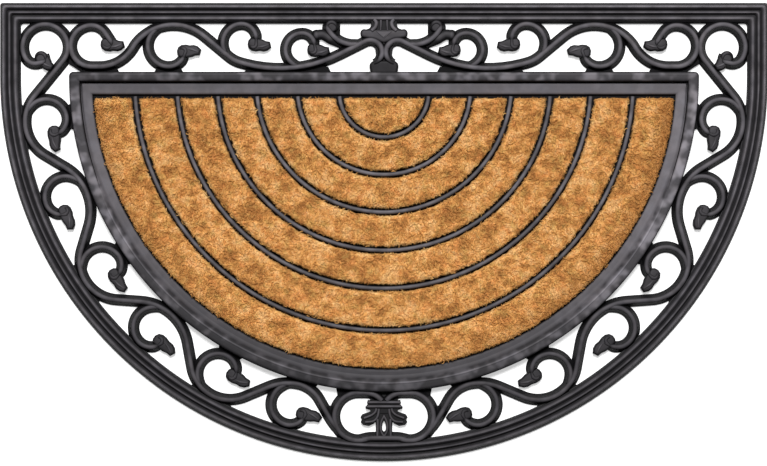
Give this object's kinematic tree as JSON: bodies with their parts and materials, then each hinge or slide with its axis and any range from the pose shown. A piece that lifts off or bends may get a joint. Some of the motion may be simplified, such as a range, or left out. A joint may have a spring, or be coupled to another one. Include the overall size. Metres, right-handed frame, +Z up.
{
  "type": "doormat",
  "caption": "Half-round doormat: a moulded rubber frame with an open scrollwork border round a ribbed field of coir pads.",
  "frame": {"origin": "on the floor, under the middle of the mat's bounding box", "axes": "+X along the straight edge, +Y from the round side towards the straight edge, +Z up"},
  "size_m": [0.762, 0.455, 0.0116],
  "materials": {
    "rubber": "black moulded rubber, satin, with a greyish bloom on the flat bands",
    "coir": "short tufted coconut fibre, golden tan, mottled and rough"
  },
  "bodies": {
    "root": {"rubber_moulding": "rubber", "coir_band_1": "coir", "coir_band_2": "coir", "coir_band_3": "coir", "coir_band_4": "coir", "coir_band_5": "coir", "coir_band_6": "coir", "coir_band_7": "coir"}
  },
  "joints": []
}
